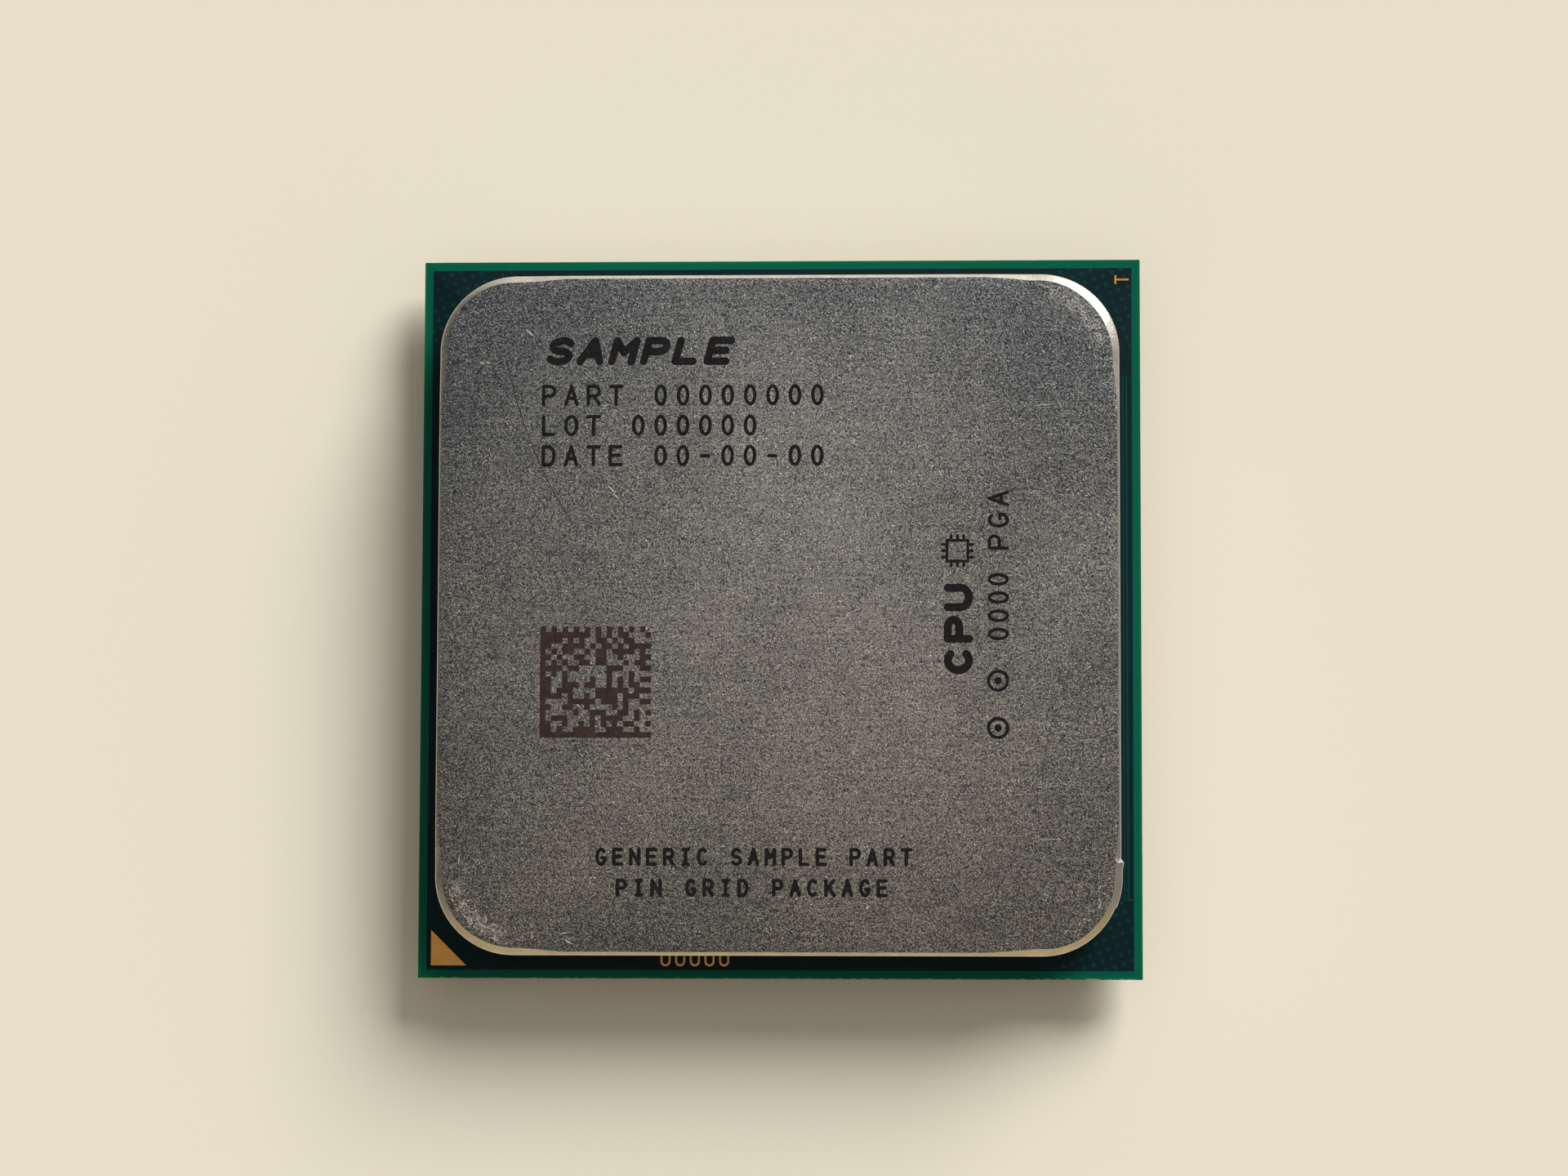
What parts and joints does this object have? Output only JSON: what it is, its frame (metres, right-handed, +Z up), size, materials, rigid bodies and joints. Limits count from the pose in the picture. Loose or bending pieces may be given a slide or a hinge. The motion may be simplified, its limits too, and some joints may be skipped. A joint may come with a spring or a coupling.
{
  "type": "computer processor",
  "caption": "Square pin-grid processor package: rounded metal lid on a thin green laminate board, with a dense grid of gold pins below.",
  "frame": {"origin": "centre of the board, at the level of the pin tips", "axes": "+Z up through the lid, normal to the board; +Y towards the top of the lid's label; the corner marker for pin A1 is at -X -Y"},
  "size_m": [0.04, 0.04, 0.0061],
  "materials": {
    "lid_nickel": "fine blasted nickel plate over copper",
    "laser_mark": "laser-darkened marking on nickel",
    "board_laminate": "green solder mask over copper and glass laminate",
    "mark_gold": "thin gold plate",
    "pin_gold": "smooth gold plate",
    "sealant": "dull black silicone",
    "die_silicon": "polished silicon",
    "solder": "soft grey solder",
    "underfill_epoxy": "smooth dark epoxy",
    "capacitor_ceramic": "matt ceramic with tinned ends"
  },
  "bodies": {
    "root": {"board": "board_laminate", "board_digit_1": "mark_gold", "board_digit_2": "mark_gold", "board_digit_3": "mark_gold", "board_digit_4": "mark_gold", "board_digit_5": "mark_gold", "capacitor_1": "capacitor_ceramic", "capacitor_10": "capacitor_ceramic", "capacitor_11": "capacitor_ceramic", "capacitor_12": "capacitor_ceramic", "capacitor_2": "capacitor_ceramic", "capacitor_3": "capacitor_ceramic", "capacitor_4": "capacitor_ceramic", "capacitor_5": "capacitor_ceramic", "capacitor_6": "capacitor_ceramic", "capacitor_7": "capacitor_ceramic", "capacitor_8": "capacitor_ceramic", "capacitor_9": "capacitor_ceramic", "corner_marker": "mark_gold", "die": "die_silicon", "fiducial": "mark_gold", "lid": "lid_nickel", "pin_row_A": "pin_gold", "pin_row_AA": "pin_gold", "pin_row_AB": "pin_gold", "pin_row_AC": "pin_gold", "pin_row_AD": "pin_gold", "pin_row_AE": "pin_gold", "pin_row_AF": "pin_gold", "pin_row_AG": "pin_gold", "pin_row_AH": "pin_gold", "pin_row_AJ": "pin_gold", "pin_row_AK": "pin_gold", "pin_row_AL": "pin_gold", "pin_row_B": "pin_gold", "pin_row_C": "pin_gold", "pin_row_D": "pin_gold", "pin_row_E": "pin_gold", "pin_row_F": "pin_gold", "pin_row_G": "pin_gold", "pin_row_H": "pin_gold", "pin_row_J": "pin_gold", "pin_row_K": "pin_gold", "pin_row_L": "pin_gold", "pin_row_M": "pin_gold", "pin_row_N": "pin_gold", "pin_row_P": "pin_gold", "pin_row_R_left": "pin_gold", "pin_row_R_right": "pin_gold", "pin_row_T_left": "pin_gold", "pin_row_T_right": "pin_gold", "pin_row_U_left": "pin_gold", "pin_row_U_right": "pin_gold", "pin_row_V": "pin_gold", "pin_row_W": "pin_gold", "pin_row_Y": "pin_gold", "sealant_bead": "sealant", "solder_layer": "solder", "underfill": "underfill_epoxy"}
  },
  "joints": []
}
